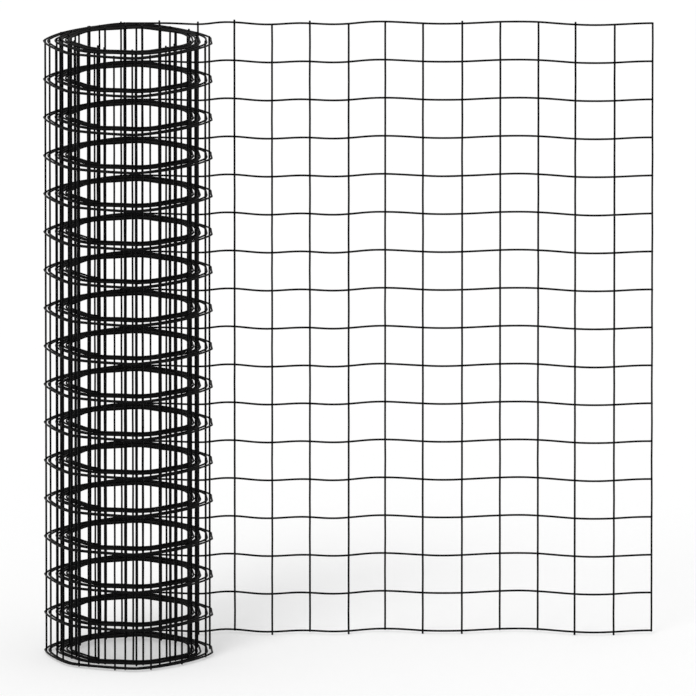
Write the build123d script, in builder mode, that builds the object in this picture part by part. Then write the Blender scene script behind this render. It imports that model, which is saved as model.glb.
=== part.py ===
"""A roll of black coated welded wire fencing, standing on its end, with its outer end unrolled.

Millimetres, +Z up. The origin is on the floor at the roll's own axis. The unrolled sheet leaves the
back of the roll (+Y) at a tangent and runs along +X.
"""

from build123d import *
import math
import os

# Welded mesh
wire = 3.6  # coated wire, across its coating
wire_sides = 6  # sides of a wire's section
cell = 76.2  # square cell, from wire centre to wire centre
cell_rows = 16  # cells across the width of the fence, which stands upright here
weld_sink = 0.8  # depth by which crossing wires sink into each other at a weld
stub = 6.0  # cross wire past the centre of the edge wire, where it pokes out

# Wound part
bore_radius = 97.0  # open middle of the roll
tight_turns = 5  # turns that lie close together
layer_distance = 8.8  # from one tight turn to the next
loose_turns = 2  # turns that have sprung outwards
loose_distance = 8.1  # from one loose turn to the next
loose_gap = 12.3  # past where one more tight turn would start, before the first loose turn
crest_width = 4.4  # width of a turn's edge, as it shows on the ends
groove_depth = 9.0  # depth to which the ends are open between the turns

# Unrolled sheet
first_cross_distance = 58.5  # from the roll's axis to the first cross wire of the flat run
flat_columns = 13  # cells from that cross wire to the free end
seat_gap = 0.3  # air between the flat run and the roll at the tangent line
wave_height = 18.0  # furthest that a crest or hollow of the sheet stands from its plane
pokes_out_above = {0, 1, 2, 4, 8, 11}  # cross wires welded a little high, counted from the roll
pokes_out_below = {1, 3, 5, 7, 8, 11, 12}  # cross wires welded a little low, counted from the roll
steps_per_cell = 24  # steps in which the wavy sheet is measured along its length

# Crests and hollows left by the winding: cells along the sheet from its first cross wire, and
# share of the wave height, towards the back
wave_crests = [
    (0, 0),
    (1, -0.55),
    (1.8, 0.55),
    (2.9, -0.67),
    (3.8, 0),
    (4.6, -0.6),
    (5.9, 0.83),
    (7.5, -0.33),
    (9.5, 0.89),
    (11.5, -1),
    (13, 0),
]

# Sizes that follow from those above
roll_height = cell_rows * cell + 2 * stub
weld_offset = wire - weld_sink
outer_turn = wire + weld_offset
first_loose_radius = bore_radius + tight_turns * layer_distance + loose_gap
outer_turn_radius = first_loose_radius + (loose_turns - 1) * loose_distance
roll_radius = outer_turn_radius + outer_turn
sheet_y = roll_radius + seat_gap + wire / 2
wire_circumradius = wire / 2 / math.cos(math.pi / wire_sides)
line_heights = [stub + row * cell for row in range(cell_rows + 1)]


def end_outline(height, inward):
    """Outline of one end of the roll, from the bore outwards: a crest for each turn, grooves between."""
    tight_starts = [bore_radius + turn * layer_distance for turn in range(tight_turns)]
    loose_starts = [first_loose_radius + turn * loose_distance for turn in range(loose_turns)]
    starts = tight_starts + loose_starts
    points = []
    for start, following in zip(starts, starts[1:]):
        crest_end = start + crest_width
        points.append((start, height))
        points.append((crest_end, height))
        points.append(((crest_end + following) / 2, height + inward * groove_depth))
    points.append((outer_turn_radius, height))
    points.append((roll_radius, height))
    return points


with BuildPart() as wound_roll:
    with BuildSketch(Plane.XZ):
        with BuildLine():
            bottom = end_outline(0.0, 1)
            top = reversed(end_outline(roll_height, -1))
            Polyline(*bottom, *top, close=True)
        make_face()
    revolve(axis=Axis.Z)
wound_roll.part.label = "wound_roll"


def wave_depth(cells_along):
    """How far back from its plane the sheet stands, so many cells along it from the first cross wire."""
    share = wave_crests[-1][1]
    for (start, before), (end, after) in zip(wave_crests, wave_crests[1:]):
        if start <= cells_along < end:
            turn = math.pi * (cells_along - start) / (end - start)
            share = before + (after - before) * (1 - math.cos(turn)) / 2
    return share * wave_height


def cross_wire_places():
    """Plan position of each cross wire's weld. The wave takes up a little of the sheet's length."""
    step = cell / steps_per_cell
    x = first_cross_distance
    places = [(x, sheet_y)]
    for column in range(flat_columns):
        for index in range(steps_per_cell):
            along = column + index / steps_per_cell
            x += math.sqrt(step**2 - (wave_depth(along + 1 / steps_per_cell) - wave_depth(along)) ** 2)
        places.append((x, sheet_y + wave_depth(column + 1)))
    return places


def cross_wire_ends(column):
    """Lowest and highest point of a cross wire, which may poke out past the edge wires."""
    low = 0.0 if column in pokes_out_below else stub - wire / 2
    high = roll_height if column in pokes_out_above else roll_height - stub + wire / 2
    return low, high


welds = cross_wire_places()

with BuildPart() as line_wire:
    with BuildLine() as wavy_path:
        Polyline((0, sheet_y, 0), *[(x, y, 0) for x, y in welds])
    with BuildSketch(Plane(wavy_path.line @ 0, z_dir=wavy_path.line % 0)):
        RegularPolygon(wire_circumradius, wire_sides)
    sweep(path=wavy_path.line, transition=Transition.RIGHT)

with BuildPart() as cross_wires:
    for low, high in sorted({cross_wire_ends(column) for column in range(len(welds))}):
        with BuildSketch(Plane.XY.offset(low)):
            for column, (x, y) in enumerate(welds):
                if cross_wire_ends(column) == (low, high):
                    with Locations((x, y - weld_offset)):
                        RegularPolygon(wire_circumradius, wire_sides)
        extrude(amount=high - low)

with BuildPart() as unrolled_sheet:
    add(cross_wires.part)
    with Locations(*[(0, 0, height) for height in line_heights]):
        add(line_wire.part)
unrolled_sheet.part.label = "unrolled_sheet"

os.makedirs("parts", exist_ok=True)
export_step(wound_roll.part, "parts/wound_roll.step")
export_step(unrolled_sheet.part, "parts/unrolled_sheet.step")
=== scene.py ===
"""Roll of black coated welded wire fencing, standing on its end with its outer end unrolled.

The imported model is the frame. The wires of this scene stand for its two nodes: the turned solid of the
wound part becomes the open mesh that it stands for, and the flat run gets round wires with their welds
and cut ends. Lengths are in metres. Places along the fence are counted in cells from the first cross
wire of the flat run: up to the free end, and below zero into the roll.
"""

import logging
import math
from abc import ABC, abstractmethod
from dataclasses import dataclass, field
from enum import Enum
from functools import cached_property
from typing import Any

import bpy
import numpy as np
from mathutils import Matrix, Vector


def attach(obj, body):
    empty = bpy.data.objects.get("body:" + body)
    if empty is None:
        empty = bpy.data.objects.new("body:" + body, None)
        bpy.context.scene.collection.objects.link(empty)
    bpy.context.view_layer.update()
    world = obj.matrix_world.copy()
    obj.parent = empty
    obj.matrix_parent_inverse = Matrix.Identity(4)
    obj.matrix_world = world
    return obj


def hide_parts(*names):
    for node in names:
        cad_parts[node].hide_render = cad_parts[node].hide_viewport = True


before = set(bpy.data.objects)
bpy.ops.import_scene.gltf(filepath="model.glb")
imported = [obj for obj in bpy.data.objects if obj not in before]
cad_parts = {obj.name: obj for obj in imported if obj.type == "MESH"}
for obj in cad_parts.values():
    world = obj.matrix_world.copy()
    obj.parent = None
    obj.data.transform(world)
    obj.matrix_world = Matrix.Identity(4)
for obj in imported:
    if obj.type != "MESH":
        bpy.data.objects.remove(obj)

MM = 0.001
BODY = "root"

Colour = tuple[float, float, float]
Pair = tuple[float, float]

UP = (0.0, 0.0, 1.0)
FULL_TURN = 360.0
WHITE: Colour = (1.0, 1.0, 1.0)

# A Mix node's two colour inputs and its colour output, which share their names with its other sockets
MIX_FIRST, MIX_SECOND, MIX_RESULT = 6, 7, 2

log = logging.getLogger("fencing")


class Operation(Enum):
    """What a Math node does with its two values."""

    ADD = "ADD"
    SUBTRACT = "SUBTRACT"
    MULTIPLY = "MULTIPLY"


class ShearedEnd(Enum):
    """Which end of a run was sheared off, and which way the cells count towards that end."""

    FREE = 1
    INNER = -1


# Shading


@dataclass(frozen=True)
class Value:
    """A shader socket that carries a number. Sums and products of values add their Math nodes."""

    shader: "Shader"
    socket: bpy.types.NodeSocket

    def _math(self, operation: Operation, first: "Value | float", second: "Value | float") -> "Value":
        """Adds one Math node.

        Args:
            operation: what the node does.
            first: its first value.
            second: its second value.

        Returns:
            The node's result.
        """
        return self.shader.node(
            "ShaderNodeMath", {"operation": operation.value}, {0: first, 1: second}
        )

    def __add__(self, other: "Value | float") -> "Value":
        """Sum of two values."""
        return self._math(Operation.ADD, self, other)

    def __radd__(self, other: float) -> "Value":
        """Sum of a number and a value."""
        return self._math(Operation.ADD, other, self)

    def __sub__(self, other: "Value | float") -> "Value":
        """Difference of two values."""
        return self._math(Operation.SUBTRACT, self, other)

    def __rsub__(self, other: float) -> "Value":
        """Difference of a number and a value."""
        return self._math(Operation.SUBTRACT, other, self)

    def __mul__(self, other: "Value | float") -> "Value":
        """Product of two values."""
        return self._math(Operation.MULTIPLY, self, other)

    def __rmul__(self, other: float) -> "Value":
        """Product of a number and a value."""
        return self._math(Operation.MULTIPLY, other, self)


class Shader:
    """The node tree of one material or of the world, and the one place where its nodes are made."""

    def __init__(self, owner: bpy.types.Material | bpy.types.World) -> None:
        """Empties the owner's node tree.

        Args:
            owner: the material or world to dress.
        """
        owner.use_nodes = True
        self.owner = owner
        self.tree = owner.node_tree
        self.tree.nodes.clear()

    def node(
        self,
        kind: str,
        settings: dict[str, Any] | None = None,
        sockets: dict[str | int, Any] | None = None,
        output: str | int = 0,
    ) -> Value:
        """Adds one node.

        Args:
            kind: the node's type.
            settings: its own settings; stops are a ramp's places and grey levels.
            sockets: the value or link of each input that isn't left as it is.
            output: the output that is wanted.

        Returns:
            That output, or the node's first input where it has no output.
        """
        made = self.tree.nodes.new(kind)
        for name, setting in (settings or {}).items():
            if name == "stops":
                self._place_stops(made.color_ramp.elements, setting)
            else:
                setattr(made, name, setting)
        for key, value in (sockets or {}).items():
            if isinstance(value, Value):
                self.tree.links.new(value.socket, made.inputs[key])
            else:
                made.inputs[key].default_value = value
        return Value(self, made.outputs[output] if made.outputs else made.inputs[0])

    @staticmethod
    def _place_stops(elements: Any, stops: list[Pair]) -> None:
        """Sets a ramp's stops.

        Args:
            elements: the ramp's own stops.
            stops: the place and the grey level of each stop.
        """
        while len(elements) < len(stops):
            elements.new(1.0)
        for element, (place, level) in zip(elements, stops):
            element.position = place
            element.color = (level, level, level, 1.0)

    def noise(self, place: Value, size: float, detail: float) -> Value:
        """Noise with features of a given size.

        Args:
            place: the coordinates to read it at.
            size: width of its features in metres.
            detail: how many finer octaves it has.

        Returns:
            The noise, from 0 to 1.
        """
        return self.node(
            "ShaderNodeTexNoise", {}, {"Vector": place, "Scale": 1.0 / size, "Detail": detail}
        )

    def ramp(self, value: Value, band: Pair) -> Value:
        """Stretches the part of a value that lies in a band over 0 to 1."""
        low, high = band
        return self.node("ShaderNodeValToRGB", {"stops": [(low, 0.0), (high, 1.0)]}, {0: value})

    def mix(self, share: Value, first: Colour | Value, second: Colour) -> Value:
        """Mixes two colours.

        Args:
            share: how much of the second colour there is.
            first: the first colour.
            second: the second colour.

        Returns:
            The mixed colour.
        """
        start = first if isinstance(first, Value) else (*first, 1.0)
        sockets = {"Factor": share, MIX_FIRST: start, MIX_SECOND: (*second, 1.0)}
        return self.node("ShaderNodeMix", {"data_type": "RGBA"}, sockets, MIX_RESULT)

    def bump(
        self, height: Value, strength: float, distance: float, under: Value | None = None
    ) -> Value:
        """Bends the surface's normal by a relief.

        Args:
            height: the relief.
            strength: how much of it shows.
            distance: its depth in metres.
            under: the normal that it is laid on, if it isn't the mesh's own.

        Returns:
            The bent normal.
        """
        sockets = {"Strength": strength, "Distance": distance, "Height": height}
        if under is not None:
            sockets["Normal"] = under
        return self.node("ShaderNodeBump", {}, sockets)

    def surface(self, shader_output: Value, output_kind: str = "ShaderNodeOutputMaterial") -> None:
        """Joins a shader to the tree's output.

        Args:
            shader_output: the finished shader.
            output_kind: the type of the output node.
        """
        self.node(output_kind, {}, {"Surface": shader_output})


@dataclass(frozen=True)
class CoatedWireFinish:
    """Satin black plastic coat over galvanised wire, with fine grain, dust and rubbed patches."""

    name: str
    coat: Colour = (0.0030, 0.0030, 0.0034)
    rubbed: Colour = (0.012, 0.012, 0.013)
    rubbed_share: float = 0.6
    dust: Colour = (0.030, 0.028, 0.025)
    dust_share: float = 0.30
    grain: float = 0.9 * MM
    grain_detail: float = 3.0
    grain_height: float = 0.05 * MM
    grain_strength: float = 0.6
    lump: float = 7.0 * MM
    lump_detail: float = 1.0
    lump_height: float = 0.25 * MM
    lump_strength: float = 0.7
    patch: float = 30.0 * MM
    patch_detail: float = 4.0
    scuff_base: float = 0.75  # share of the patches in the scuffs
    scuff_grain: float = 0.5  # share of the patches that the grain breaks up
    scuff_band: Pair = (0.60, 0.68)
    settle_upward: float = 0.6  # share of dust that faces upwards
    settle_patch: float = 0.6  # share of dust that lies in patches
    settle_band: Pair = (0.62, 0.95)
    smooth: float = 0.40
    rough: float = 0.58
    lump_roughens: float = 0.5
    scuff_roughens: float = 0.3
    dust_roughens: float = 0.4
    ior: float = 1.5
    specular: float = 0.035

    def material(self) -> bpy.types.Material:
        """Makes the material.

        Returns:
            The finished material.
        """
        shader = Shader(bpy.data.materials.new(self.name))
        place = shader.node("ShaderNodeTexCoord", output="Object")
        normal = shader.node("ShaderNodeTexCoord", output="Normal")
        upward = shader.node("ShaderNodeSeparateXYZ", {}, {0: normal}, "Z")
        grain = shader.noise(place, self.grain, self.grain_detail)
        lumps = shader.noise(place, self.lump, self.lump_detail)
        patches = shader.noise(place, self.patch, self.patch_detail)
        scuffs = shader.ramp(patches * (self.scuff_base + grain * self.scuff_grain), self.scuff_band)
        settled = shader.ramp(
            upward * self.settle_upward + patches * self.settle_patch, self.settle_band
        )
        worn = shader.mix(scuffs * self.rubbed_share, self.coat, self.rubbed)
        roughened = (
            self.lump_roughens * lumps + self.scuff_roughens * scuffs + self.dust_roughens * settled
        )
        fine = shader.bump(grain, self.grain_strength, self.grain_height)
        sockets = {
            "Base Color": shader.mix(settled * self.dust_share, worn, self.dust),
            "Roughness": self.smooth + (self.rough - self.smooth) * roughened,
            "Normal": shader.bump(lumps, self.lump_strength, self.lump_height, fine),
            "IOR": self.ior,
            "Specular IOR Level": self.specular,
        }
        shader.surface(shader.node("ShaderNodeBsdfPrincipled", {}, sockets))
        return shader.owner


@dataclass(frozen=True)
class CutSteelFinish:
    """Bare galvanised steel where the wire was sheared, dull and a little stained."""

    name: str = "cut_steel"
    bright: Colour = (0.46, 0.46, 0.45)
    stained: Colour = (0.20, 0.17, 0.14)
    stained_share: float = 0.7
    stain: float = 1.6 * MM
    stain_detail: float = 3.0
    stain_band: Pair = (0.45, 0.70)
    stain_dulls: float = 0.5
    scratch: float = 0.25 * MM
    scratch_detail: float = 2.0
    scratch_height: float = 0.03 * MM
    scratch_strength: float = 0.5
    scratch_roughens: float = 0.25
    smooth: float = 0.34

    def material(self) -> bpy.types.Material:
        """Makes the material.

        Returns:
            The finished material.
        """
        shader = Shader(bpy.data.materials.new(self.name))
        place = shader.node("ShaderNodeTexCoord", output="Object")
        scratches = shader.noise(place, self.scratch, self.scratch_detail)
        stains = shader.ramp(shader.noise(place, self.stain, self.stain_detail), self.stain_band)
        sockets = {
            "Base Color": shader.mix(stains * self.stained_share, self.bright, self.stained),
            "Metallic": 1.0 - stains * self.stain_dulls,
            "Roughness": self.smooth + scratches * self.scratch_roughens,
            "Normal": shader.bump(scratches, self.scratch_strength, self.scratch_height),
        }
        shader.surface(shader.node("ShaderNodeBsdfPrincipled", {}, sockets))
        return shader.owner


# Meshes of many small closed bodies


@dataclass
class WireBundle:
    """Vertices and faces of many closed bodies that are joined into one mesh."""

    name: str
    points: list[np.ndarray] = field(default_factory=list)
    faces: list[tuple[int, ...]] = field(default_factory=list)
    count: int = 0

    def _add_body(self, start: np.ndarray, skin: np.ndarray, end: np.ndarray) -> None:
        """Adds a closed body: rings of points between its first point and its last.

        Args:
            start: its first point.
            skin: its rings, each with the same number of points.
            end: its last point.
        """
        rings, sides, _ = skin.shape
        first = self.count
        last = first + 1 + rings * sides
        self.points.append(np.concatenate([[start], skin.reshape(-1, 3), [end]]))
        for side in range(sides):
            after = (side + 1) % sides
            self.faces.append((first, first + 1 + after, first + 1 + side))
            self.faces.append((last, last - sides + side, last - sides + after))
            for near in range(first + 1, last - sides, sides):
                far = near + sides
                self.faces.append((near + side, near + after, far + after, far + side))
        self.count = last + 1

    def add_tube(
        self, centres: np.ndarray, across: np.ndarray, over: np.ndarray, radii: np.ndarray, sides: int
    ) -> None:
        """Adds a closed round bar.

        Args:
            centres: points along its middle, from end to end.
            across: unit vector across the bar at each point.
            over: unit vector across both at each point.
            radii: its radius at each point.
            sides: how many flats its section has.
        """
        angles = np.arange(sides) * 2 * math.pi / sides
        spokes = (
            np.cos(angles)[None, :, None] * across[:, None, :]
            + np.sin(angles)[None, :, None] * over[:, None, :]
        )
        skin = centres[:, None, :] + radii[:, None, None] * spokes
        self._add_body(centres[0], skin, centres[-1])

    def add_nugget(self, centre: np.ndarray, axes: np.ndarray, sides: int, rings: int) -> None:
        """Adds a closed rounded nugget.

        Args:
            centre: its middle.
            axes: its three half axes, one a row, the last from pole to pole.
            sides: how many flats it has around.
            rings: how many rings lie between its poles.
        """
        tilt = np.arange(1, rings + 1) * math.pi / (rings + 1)
        angles = np.arange(sides) * 2 * math.pi / sides
        around = np.cos(angles)[:, None] * axes[0] + np.sin(angles)[:, None] * axes[1]
        skin = np.array([centre + math.sin(t) * around - math.cos(t) * axes[2] for t in tilt])
        self._add_body(centre - axes[2], skin, centre + axes[2])

    def build(self, material: bpy.types.Material, sharp_angle: float = 50.0) -> bpy.types.Object:
        """Makes the joined mesh and its object.

        Args:
            material: its finish.
            sharp_angle: bend in degrees above which an edge stays sharp.

        Returns:
            The object, linked to the scene.
        """
        mesh = bpy.data.meshes.new(self.name)
        mesh.from_pydata(np.concatenate(self.points).tolist(), [], self.faces)
        mesh.polygons.foreach_set("use_smooth", np.ones(len(mesh.polygons), dtype=bool))
        mesh.set_sharp_from_angle(angle=math.radians(sharp_angle))
        mesh.materials.append(material)
        mesh.update()
        made = bpy.data.objects.new(self.name, mesh)
        bpy.context.scene.collection.objects.link(made)
        return made


# The fence's sizes and the line that it follows


def smooth_share(values: np.ndarray, start: float, end: float) -> np.ndarray:
    """Rises smoothly from 0 at start to 1 at end.

    Args:
        values: the places to read it at.
        start: where it leaves 0.
        end: where it reaches 1.

    Returns:
        The share at each place.
    """
    share = np.clip((values - start) / (end - start), 0, 1)
    return share**2 * (3 - 2 * share)


@dataclass(frozen=True)
class Gauge:
    """Sizes of the welded mesh."""

    wire: float = 3.6 * MM  # across its coating
    swell: float = 0.15 * MM  # coating beyond the nominal radius
    core: float = 2.8 * MM  # steel wire inside the coating
    cell: float = 76.2 * MM
    cell_rows: int = 16
    weld_sink: float = 0.8 * MM  # depth by which crossing wires sink into each other
    stub: float = 6.0 * MM  # cross wire past the centre of an edge wire

    @property
    def radius(self) -> float:
        """Radius of a coated wire."""
        return self.wire / 2

    @property
    def bar_radius(self) -> float:
        """Radius that a wire is drawn with: its coating lies a little thicker than its nominal size."""
        return self.radius + self.swell

    @property
    def weld_offset(self) -> float:
        """From the centre of a line wire to the centre of a cross wire that is welded to it."""
        return self.wire - self.weld_sink

    @property
    def height(self) -> float:
        """Height of the fence, with the cross wires that poke out at both edges."""
        return self.cell_rows * self.cell + 2 * self.stub

    @property
    def line_heights(self) -> np.ndarray:
        """Heights of the line wires, the lowest first."""
        return self.stub + np.arange(self.cell_rows + 1) * self.cell


@dataclass(frozen=True)
class Drop:
    """A stretch of the winding, in turns, where the fence passes to the inside of the turn before."""

    from_turns: float
    to_turns: float
    depth: float


@dataclass(frozen=True)
class Corner:
    """A corner of the sprung turns, in degrees, and how deep the fence lies halfway to the next one."""

    angle: float
    flat_depth: float


@dataclass(frozen=True)
class Crest:
    """A crest or hollow of the flat run: its place in cells, and its share of the wave's height."""

    cells: float
    share: float


@dataclass(frozen=True)
class FencePath:
    """The line of the line wires, seen from above, from the free end to the inner end of the roll.

    Turns are counted from the tangent line, where the flat run leaves the back of the roll.
    """

    gauge: Gauge
    roll_radius: float = 167.8 * MM
    seat_gap: float = 0.3 * MM  # air between the flat run and the roll
    first_cross: float = 58.5 * MM  # from the roll's axis to the flat run's first cross wire
    flat_columns: int = 13
    wound_columns: int = 71
    back_angle: float = 90.0  # where the flat run leaves the roll, in degrees
    turn_spacing: float = 6.67 * MM  # from one tight turn to the next
    leaving_turns: float = 0.15  # in which the outer turn closes the gap to the flat run
    drops: tuple[Drop, ...] = (Drop(0.578, 0.968, 7.36 * MM), Drop(1.455, 2.134, 12.54 * MM))
    corners: tuple[Corner, ...] = (
        Corner(79.0, 16.5 * MM),
        Corner(178.6, 6.2 * MM),
        Corner(225.7, 9.1 * MM),
        Corner(274.9, 15.7 * MM),
        Corner(351.4, 2.8 * MM),
        Corner(370.9, 12.2 * MM),
        Corner(439.0, 0.0),
    )
    corners_from: float = 0.06  # turns in which the corners' flats set in
    corners_kept: float = 0.24  # share of the flats' depth that the tight turns keep
    tightened_between: Pair = (1.6, 2.2)  # turns in which the sprung turns pass into tight ones
    ripples: int = 7  # dents around a tight turn
    ripple_angle: float = 81.1  # where there is none, in degrees
    ripple_depth: float = 5.96 * MM
    oval: float = 11.3 * MM  # by which the tight turns lie further in at the front and the back
    oval_between: Pair = (1.4, 2.8)  # turns in which that sets in
    drift: Pair = (1.48 * MM, -0.18 * MM)  # of the tight turns' middle, to the right and back
    drift_between: Pair = (1.6, 2.3)  # turns in which that sets in
    spare_length: float = 1.6  # line that is worked out, for each length of fence in the roll
    wave_height: float = 18.0 * MM
    steps_per_cell: int = 24
    steps_per_turn: int = 1440
    crests: tuple[Crest, ...] = (
        Crest(0.0, 0.0),
        Crest(1.0, -0.55),
        Crest(1.8, 0.55),
        Crest(2.9, -0.67),
        Crest(3.8, 0.0),
        Crest(4.6, -0.6),
        Crest(5.9, 0.83),
        Crest(7.5, -0.33),
        Crest(9.5, 0.89),
        Crest(11.5, -1.0),
        Crest(13.0, 0.0),
    )

    @property
    def sheet_y(self) -> float:
        """Distance from the roll's axis back to the line wires' centres in the flat run."""
        return self.roll_radius + self.seat_gap + self.gauge.radius

    @property
    def tangent_cells(self) -> float:
        """Place of the tangent line, where the sheet leaves the roll."""
        return -self.first_cross / self.gauge.cell

    def wave_depth(self, cells: float) -> float:
        """How far back from its plane the sheet stands.

        Args:
            cells: place along the fence.

        Returns:
            The depth, towards the back.
        """
        share = self.crests[-1].share
        for near, far in zip(self.crests, self.crests[1:]):
            if near.cells <= cells < far.cells:
                turn = math.pi * (cells - near.cells) / (far.cells - near.cells)
                share = near.share + (far.share - near.share) * (1 - math.cos(turn)) / 2
        return share * self.wave_height

    def _flat_line(self) -> np.ndarray:
        """Follows the flat run from the free end to the tangent line.

        The waves take up some of its length, so each step goes as far as the length of fence allows.

        Returns:
            Rows of cells, x and y.
        """
        step = self.gauge.cell / self.steps_per_cell
        x = self.first_cross
        rows = [(0.0, x, self.sheet_y)]
        for index in range(self.flat_columns * self.steps_per_cell):
            here = index / self.steps_per_cell
            after = (index + 1) / self.steps_per_cell
            x += math.sqrt(step**2 - (self.wave_depth(after) - self.wave_depth(here)) ** 2)
            rows.append((after, x, self.sheet_y + self.wave_depth(after)))
        rows.reverse()
        for share in np.arange(1, self.steps_per_cell) / self.steps_per_cell:
            rows.append((self.tangent_cells * share, self.first_cross * (1 - share), self.sheet_y))
        return np.array(rows)

    def _corner_depth(self, angle: np.ndarray) -> np.ndarray:
        """How far inside its circle a sprung turn lies.

        Args:
            angle: degrees around the roll.

        Returns:
            The depth: none at a corner and the most halfway along the flatter stretch after it.
        """
        angles = np.array([corner.angle for corner in self.corners])
        depths = np.array([corner.flat_depth for corner in self.corners])
        around = angles[0] + (angle - angles[0]) % FULL_TURN
        stretch = np.clip(np.searchsorted(angles, around, side="right") - 1, 0, len(angles) - 2)
        share = (around - angles[stretch]) / (angles[stretch + 1] - angles[stretch])
        return depths[stretch] * np.sin(np.pi * share)

    def _wound_radius(self, turns: np.ndarray, degrees: np.ndarray) -> np.ndarray:
        """How far from the roll's axis the line wires' centres lie.

        The outer turns are sprung, with corners and drops. The inner ones lie close together, with
        ripples, and are a little shorter from front to back.

        Args:
            turns: places along the winding.
            degrees: the angle around the roll at each of them.

        Returns:
            The radius at each place.
        """
        outer = self.roll_radius - self.gauge.radius
        leaving = (1 - np.cos(np.pi * np.clip(1 - turns / self.leaving_turns, 0, 1))) / 2
        radius = outer + leaving * (self.sheet_y - outer)
        for drop in self.drops:
            radius -= drop.depth * smooth_share(turns, drop.from_turns, drop.to_turns)
        radius -= self.turn_spacing * np.clip(turns - self.drops[-1].to_turns, 0, None)
        tight = smooth_share(turns, *self.tightened_between)
        cornered = self._corner_depth(degrees) * (1 - tight * (1 - self.corners_kept))
        ripple = (1 - np.cos(self.ripples * np.radians(degrees - self.ripple_angle))) / 2
        eased = np.clip(turns / self.corners_from, 0, 1)
        radius -= (cornered + self.ripple_depth * tight * ripple) * eased
        radius -= self.oval * smooth_share(turns, *self.oval_between) * np.sin(np.radians(degrees)) ** 2
        return radius

    def _wound_line(self) -> np.ndarray:
        """Follows the winding from the tangent line to well past the inner end.

        Returns:
            Rows of cells, x and y.
        """
        outer_turn = 2 * math.pi * self.roll_radius
        longest = self.wound_columns * self.gauge.cell / outer_turn * self.spare_length
        turns = np.arange(0.0, longest, 1.0 / self.steps_per_turn)
        degrees = self.back_angle + FULL_TURN * turns
        radius = self._wound_radius(turns, degrees)
        start, end = self.drift_between
        drifted = np.clip((turns - start) / (end - start), 0, 1)
        x = radius * np.cos(np.radians(degrees)) + self.drift[0] * drifted
        y = radius * np.sin(np.radians(degrees)) + self.drift[1] * drifted
        along = np.concatenate([[0.0], np.cumsum(np.hypot(np.diff(x), np.diff(y)))])
        return np.stack([self.tangent_cells - along / self.gauge.cell, x, y], axis=1)

    @cached_property
    def _line(self) -> np.ndarray:
        """The whole line, worked out once.

        Returns:
            Rows of cells, x and y and the outward direction's x and y, in rising order of cells.
        """
        rows = np.concatenate([self._flat_line(), self._wound_line()])[::-1]
        along = np.gradient(rows[:, 1:], rows[:, 0], axis=0)
        along /= np.linalg.norm(along, axis=1)[:, None]
        outward = np.stack([-along[:, 1], along[:, 0]], axis=1)
        return np.concatenate([rows, outward], axis=1)

    def at(self, cells: np.ndarray) -> tuple[np.ndarray, np.ndarray, np.ndarray]:
        """Places on the line.

        Args:
            cells: places along the fence.

        Returns:
            The points, the directions along the fence and the directions out of it, all level.
        """
        places = self._line[:, 0]
        x, y, out_x, out_y = (np.interp(cells, places, column) for column in self._line[:, 1:].T)
        length = np.hypot(out_x, out_y)
        out_x, out_y = out_x / length, out_y / length
        level = np.zeros(len(cells))
        out = np.stack([out_x, out_y, level], axis=1)
        along = np.stack([out_y, -out_x, level], axis=1)
        return np.stack([x, y, level], axis=1), along, out


# Sub-assemblies


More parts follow.
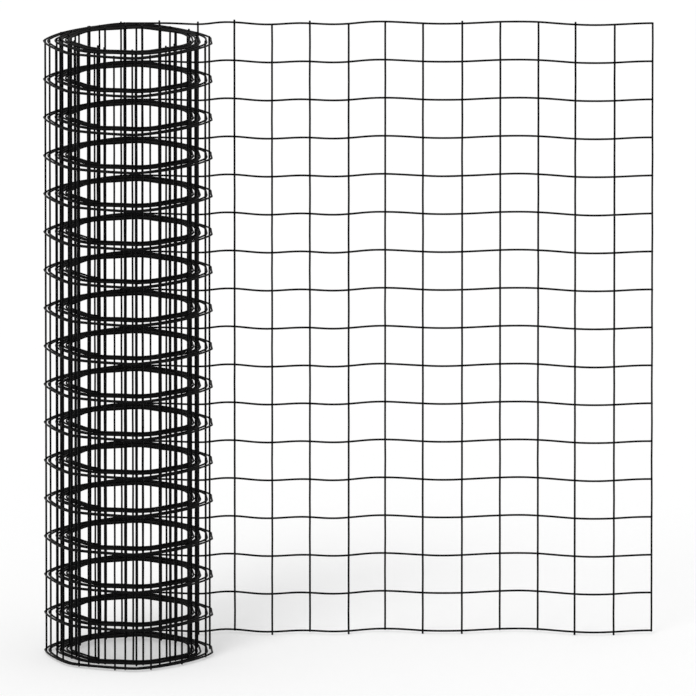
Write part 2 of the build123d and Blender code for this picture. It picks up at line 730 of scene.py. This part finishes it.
@dataclass
class FenceRun(ABC):
    """A stretch of the fence: its line wires, cross wires, welds and cut ends."""

    path: FencePath
    coat: bpy.types.Material
    weld_coat: bpy.types.Material
    steel: bpy.types.Material
    name: str = "run"
    node: str = ""
    sheared: ShearedEnd = ShearedEnd.FREE
    seed: int = 1
    steps: int = 6  # in which a line wire crosses a cell
    sides: int = 8
    end_margin: float = 0.25  # least share of a step between a line wire's end and its next ring
    bow: float = 0.35 * MM  # by which a wire strays between two welds, at most
    uneven: float = 0.02  # share by which a coating's thickness varies
    dome_reach: tuple[float, ...] = (0.0, 0.3, 1.0)  # rings of a rounded wire end, from its tip
    dome_widths: tuple[float, ...] = (0.62, 0.88, 1.0)  # their radii, for the wire's radius
    dome_height: float = 0.7  # the dome's height, for the wire's radius
    weld_width: float = 2.3 * MM
    weld_width_range: Pair = (0.92, 1.08)
    weld_depth: float = 1.55 * MM
    weld_depth_range: Pair = (0.95, 1.05)
    weld_sides: int = 8
    weld_rings: int = 4
    core_reach: tuple[float, ...] = (-1.0 * MM, 0.02 * MM, 0.10 * MM, 0.12 * MM)  # past the cut
    core_widths: tuple[float, ...] = (1.0, 1.0, 0.94, 0.80)  # radii there, for the core's radius
    core_sides: int = 12
    gauge: Gauge = field(init=False)
    chance: np.random.Generator = field(init=False)

    def __post_init__(self) -> None:
        """Starts the run's own chance numbers, which are the same every time."""
        self.gauge = self.path.gauge
        self.chance = np.random.default_rng(self.seed)

    @property
    @abstractmethod
    def from_cells(self) -> float:
        """Place of the run's end that lies further inwards."""

    @property
    @abstractmethod
    def to_cells(self) -> float:
        """Place of the run's other end."""

    @abstractmethod
    def stub_ends(self, cells: int) -> tuple[float, float]:
        """Lowest and highest point of a cross wire.

        Args:
            cells: its place along the fence.

        Returns:
            Both heights.
        """

    def rise(self, cells: np.ndarray) -> np.ndarray:
        """How far the mesh has crept upwards at each place: none, unless the run says so."""
        return np.zeros(len(cells))

    @property
    def cross_cells(self) -> list[int]:
        """Places of the cross wires that belong to this run."""
        return list(range(math.ceil(self.from_cells), math.floor(self.to_cells) + 1))

    def line_wires(self) -> bpy.types.Object:
        """Builds the line wires as one mesh, each along the whole run.

        Returns:
            The object.
        """
        bundle = WireBundle(f"{self.name}_line_wires")
        first = math.ceil(self.from_cells * self.steps + self.end_margin)
        last = math.floor(self.to_cells * self.steps - self.end_margin)
        inside = np.arange(first, last + 1) / self.steps
        cells = np.concatenate([[self.from_cells], inside, [self.to_cells]])
        points, _, out = self.path.at(cells)
        over = np.tile(UP, (len(cells), 1))
        between = np.sin(np.pi * (cells - np.floor(cells)))
        column = (np.floor(cells) - math.floor(self.from_cells)).astype(int)
        radius = self.gauge.bar_radius
        for height in self.gauge.line_heights:
            bows = self.chance.uniform(-self.bow, self.bow, column.max() + 1)[column]
            centres = points.copy()
            centres[:, 2] = height + self.rise(cells) + bows * between
            radii = radius * (1 + self.chance.uniform(-self.uneven, self.uneven, len(cells)))
            radii[0] = radii[-1] = radius
            bundle.add_tube(centres, out, over, radii, self.sides)
        return self._place(bundle.build(self.coat))

    def cross_wires(self) -> bpy.types.Object:
        """Builds the cross wires as one mesh, upright, on the inner side of the line wires.

        Returns:
            The object.
        """
        bundle = WireBundle(f"{self.name}_cross_wires")
        radius = self.gauge.bar_radius
        dome = np.array(self.dome_reach) * radius * self.dome_height
        dome_radii = np.array(self.dome_widths) * radius
        tip = len(dome)
        places = np.array(self.cross_cells, dtype=float)
        points, along, out = self.path.at(places)
        half_cells = np.arange(self.gauge.cell_rows * 2 + 1) / 2 * self.gauge.cell + self.gauge.stub
        stands = zip(self.cross_cells, points, along, out, self.rise(places))
        for place, point, sideways, outward, rise in stands:
            low, high = self.stub_ends(place)
            middle = half_cells + rise
            middle = middle[(middle > low + dome[-1]) & (middle < high - dome[-1])]
            heights = np.concatenate([low + dome, middle, high - dome[::-1]])
            bend = self.chance.uniform(-self.bow, self.bow, len(heights))
            bend[np.isin(heights, middle[::2])] = 0.0
            bend[:tip] = bend[-tip:] = 0.0
            centres = point - outward * self.gauge.weld_offset + sideways * bend[:, None]
            centres[:, 2] = heights
            radii = np.concatenate([dome_radii, np.full(len(middle), radius), dome_radii[::-1]])
            across, over = (np.tile(vector, (len(heights), 1)) for vector in (outward, -sideways))
            bundle.add_tube(centres, across, over, radii, self.sides)
        return self._place(bundle.build(self.coat))

    def welds(self) -> bpy.types.Object:
        """Builds the nuggets of pooled coating around every weld as one mesh.

        Returns:
            The object.
        """
        bundle = WireBundle(f"{self.name}_welds")
        places = np.array(self.cross_cells, dtype=float)
        points, along, out = self.path.at(places)
        for point, sideways, outward, rise in zip(points, along, out, self.rise(places)):
            for height in self.gauge.line_heights:
                widths = self.weld_width * self.chance.uniform(*self.weld_width_range, 2)
                depth = self.weld_depth * self.chance.uniform(*self.weld_depth_range)
                centre = point - outward * self.gauge.weld_offset / 2 + np.array([0, 0, height + rise])
                axes = np.array([[0, 0, widths[1]], sideways * widths[0], outward * depth])
                bundle.add_nugget(centre, axes, self.weld_sides, self.weld_rings)
        return self._place(bundle.build(self.weld_coat))

    def cut_ends(self) -> bpy.types.Object:
        """Builds the bare steel cores that show where the line wires were sheared.

        Returns:
            The object.
        """
        bundle = WireBundle(f"{self.name}_cut_ends")
        way = self.sheared.value
        place = np.array([self.to_cells if self.sheared is ShearedEnd.FREE else self.from_cells])
        point, along, out = self.path.at(place)
        reach = np.array(self.core_reach)[:, None] * way
        radii = np.array(self.core_widths) * self.gauge.core / 2
        across, over = (np.tile(vector, (len(radii), 1)) for vector in (out, UP))
        rise = self.rise(place)[0]
        for height in self.gauge.line_heights:
            centres = point + along * reach + np.array([0, 0, height + rise])
            bundle.add_tube(centres[::way], across, over, radii[::way], self.core_sides)
        return self._place(bundle.build(self.steel))

    def _place(self, piece: bpy.types.Object) -> bpy.types.Object:
        """Puts a piece on the body, in the stead of the run's node.

        Args:
            piece: the piece.

        Returns:
            The same piece.
        """
        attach(piece, BODY)
        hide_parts(self.node)
        return piece

    def build(self) -> list[bpy.types.Object]:
        """Builds and dresses the run.

        Returns:
            Its pieces.
        """
        return [self.line_wires(), self.cross_wires(), self.welds(), self.cut_ends()]


@dataclass
class UnrolledSheet(FenceRun):
    """The flat run, from the tangent line to the free end."""

    name: str = "sheet"
    node: str = "unrolled_sheet"
    sheared: ShearedEnd = ShearedEnd.FREE
    seed: int = 7
    steps: int = 8
    sides: int = 10
    high_wires: frozenset[int] = frozenset({0, 1, 2, 4, 8, 11})
    low_wires: frozenset[int] = frozenset({1, 3, 5, 7, 8, 11, 12})

    @property
    def from_cells(self) -> float:
        """Place of the tangent line."""
        return self.path.tangent_cells

    @property
    def to_cells(self) -> float:
        """Place of the free end."""
        return float(self.path.flat_columns)

    def stub_ends(self, cells: int) -> tuple[float, float]:
        """Lowest and highest point of a cross wire, which may poke out past the edge wires.

        Args:
            cells: its place along the fence.

        Returns:
            Both heights.
        """
        flush = self.gauge.stub - self.gauge.radius
        low = 0.0 if cells in self.low_wires else flush
        high = self.gauge.height if cells in self.high_wires else self.gauge.height - flush
        return low, high


@dataclass
class WoundRoll(FenceRun):
    """The wound part, from the tangent line round and round to the inner end."""

    name: str = "roll"
    node: str = "wound_roll"
    sheared: ShearedEnd = ShearedEnd.INNER
    seed: int = 23
    lift: float = 4.8 * MM  # by which the inner end stands higher than the outer turn
    creep: float = 0.9 * MM  # by which a turn strays up or down, at most
    creep_periods: Pair = (23.0, 9.7)  # of its slow and its quick wave, in cells
    creep_shares: Pair = (0.7, 0.3)
    creep_sets_in: float = 12.0  # cells in which it sets in
    stub_range: Pair = (0.55, 1.0)  # length of the stubs that poke out, for the longest

    @property
    def from_cells(self) -> float:
        """Place of the inner end."""
        return -float(self.path.wound_columns)

    @property
    def to_cells(self) -> float:
        """Place of the tangent line."""
        return self.path.tangent_cells

    def rise(self, cells: np.ndarray) -> np.ndarray:
        """How far the turns have crept upwards, a little unevenly and the more the further in.

        Args:
            cells: places along the fence.

        Returns:
            The rise at each place.
        """
        inward = self.path.tangent_cells - cells
        slow, quick = (np.sin(2 * np.pi * inward / period) for period in self.creep_periods)
        uneven = self.creep_shares[0] * slow + self.creep_shares[1] * quick
        wander = self.creep * np.clip(inward / self.creep_sets_in, 0, 1) * uneven
        return wander + self.lift * np.clip(inward / self.path.wound_columns, 0, 1)

    def stub_ends(self, cells: int) -> tuple[float, float]:
        """Lowest and highest point of a cross wire, which pokes out past the edge wires by chance.

        Args:
            cells: its place along the fence.

        Returns:
            Both heights.
        """
        rise = float(self.rise(np.array([float(cells)]))[0])
        below, above = self.chance.uniform(*self.stub_range, 2) * self.gauge.stub
        low = max(0.0, self.gauge.stub + rise - below)
        high = self.gauge.height - self.gauge.stub + rise + above
        return low, high


# Floor, light and camera


@dataclass
class Studio:
    """A plain pale floor, plain soft light and the photograph's view."""

    floor_half: float = 80.0
    floor_colour: Colour = (0.62, 0.62, 0.62)
    mottle_colour: Colour = (0.60, 0.60, 0.60)
    mottle_size: float = 0.4
    mottle_detail: float = 3.0
    mottle_share: float = 0.3
    floor_lift: float = 0.385  # glow that only the picture sees, which brings the floor up to white
    sky_light: float = 0.72
    key_power: float = 1.15
    key_softness: float = 22.0  # width of the lamp in degrees
    key_angles: Pair = (38.0, -28.0)  # its tilt and turn in degrees
    elevation: float = 12.7  # of the camera, in degrees
    distance: float = 60.0
    picture_width: int = 696
    scale: float = 511.8  # pixels for each metre at the roll's axis
    axis_pixel: float = 129.3  # where that axis stands in the picture
    sensor: float = 36.0  # in millimetres, as the lens is
    aim_height: float = 0.6125
    sight_range: float = 4.0  # how far the camera sees, for its distance

    def floor(self) -> bpy.types.Object:
        """Lays the floor, which shows white where no shadow falls.

        Returns:
            The floor.
        """
        half = self.floor_half
        corners = [(-half, -half, 0), (half, -half, 0), (half, half, 0), (-half, half, 0)]
        mesh = bpy.data.meshes.new("floor")
        mesh.from_pydata(corners, [], [(0, 1, 2, 3)])
        shader = Shader(bpy.data.materials.new("floor_paint"))
        place = shader.node("ShaderNodeTexCoord", output="Object")
        mottle = shader.noise(place, self.mottle_size, self.mottle_detail)
        colour = shader.mix(mottle * self.mottle_share, self.floor_colour, self.mottle_colour)
        paint = shader.node("ShaderNodeBsdfDiffuse", {}, {"Color": colour})
        lift = self._seen_rays(shader) * self.floor_lift
        glow = shader.node("ShaderNodeEmission", {}, {"Color": (*WHITE, 1.0), "Strength": lift})
        shader.surface(shader.node("ShaderNodeAddShader", {}, {0: paint, 1: glow}))
        mesh.materials.append(shader.owner)
        floor = bpy.data.objects.new("floor", mesh)
        bpy.context.scene.collection.objects.link(floor)
        return floor

    @staticmethod
    def _seen_rays(shader: Shader) -> Value:
        """Tells the rays that end in the picture from those that only light the object.

        Args:
            shader: the node tree that asks.

        Returns:
            One for rays from the camera and for those that a glossy or clear surface sends on.
        """
        camera = shader.node("ShaderNodeLightPath", output="Is Camera Ray")
        glossy = shader.node("ShaderNodeLightPath", output="Is Glossy Ray")
        clear = shader.node("ShaderNodeLightPath", output="Is Transmission Ray")
        settings = {"operation": Operation.ADD.value, "use_clamp": True}
        return shader.node("ShaderNodeMath", settings, {0: camera + glossy, 1: clear})

    def light(self) -> None:
        """Lights the scene: an even sky, white to the camera, and one wide soft lamp."""
        world = bpy.data.worlds.new("studio_sky")
        bpy.context.scene.world = world
        shader = Shader(world)
        strength = self.sky_light + self._seen_rays(shader) * (1.0 - self.sky_light)
        sky = shader.node("ShaderNodeBackground", {}, {"Color": (*WHITE, 1.0), "Strength": strength})
        shader.surface(sky, "ShaderNodeOutputWorld")
        lamp = bpy.data.lights.new("key", "SUN")
        lamp.energy = self.key_power
        lamp.angle = math.radians(self.key_softness)
        key = bpy.data.objects.new("key", lamp)
        tilt, turn = (math.radians(angle) for angle in self.key_angles)
        key.rotation_euler = (tilt, 0.0, turn)
        bpy.context.scene.collection.objects.link(key)

    def camera(self) -> bpy.types.Object:
        """Sets up the camera from far away with a long lens, so that upright lines stay parallel.

        Returns:
            The camera.
        """
        width = self.picture_width / self.scale
        lens = bpy.data.cameras.new("camera")
        lens.sensor_width = self.sensor
        lens.lens = self.sensor * self.distance / width
        lens.clip_end = self.distance * self.sight_range
        made = bpy.data.objects.new("camera", lens)
        tilt = math.radians(self.elevation)
        sideways = (self.picture_width / 2 - self.axis_pixel) / self.scale
        aim = Vector((sideways, 0.0, self.aim_height))
        made.location = aim + Vector((0.0, -math.cos(tilt), math.sin(tilt))) * self.distance
        made.rotation_euler = (math.pi / 2 - tilt, 0.0, 0.0)
        bpy.context.scene.collection.objects.link(made)
        bpy.context.scene.camera = made
        return made


def main() -> None:
    """Builds the scene."""
    logging.basicConfig(level=logging.INFO, format="%(name)s: %(message)s")
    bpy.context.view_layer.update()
    bpy.context.scene.view_settings.view_transform = "Standard"
    coat = CoatedWireFinish("black_coated_wire_finish").material()
    weld_coat = CoatedWireFinish(
        "black_weld_coat_finish", lump=2.4 * MM, lump_height=0.35 * MM, smooth=0.34, rough=0.52
    ).material()
    steel = CutSteelFinish().material()
    path = FencePath(Gauge())
    for run in (UnrolledSheet(path, coat, weld_coat, steel), WoundRoll(path, coat, weld_coat, steel)):
        for piece in run.build():
            log.info("%s: %d faces", piece.name, len(piece.data.polygons))
    studio = Studio()
    studio.floor()
    studio.light()
    studio.camera()


if __name__ == "__main__":
    main()
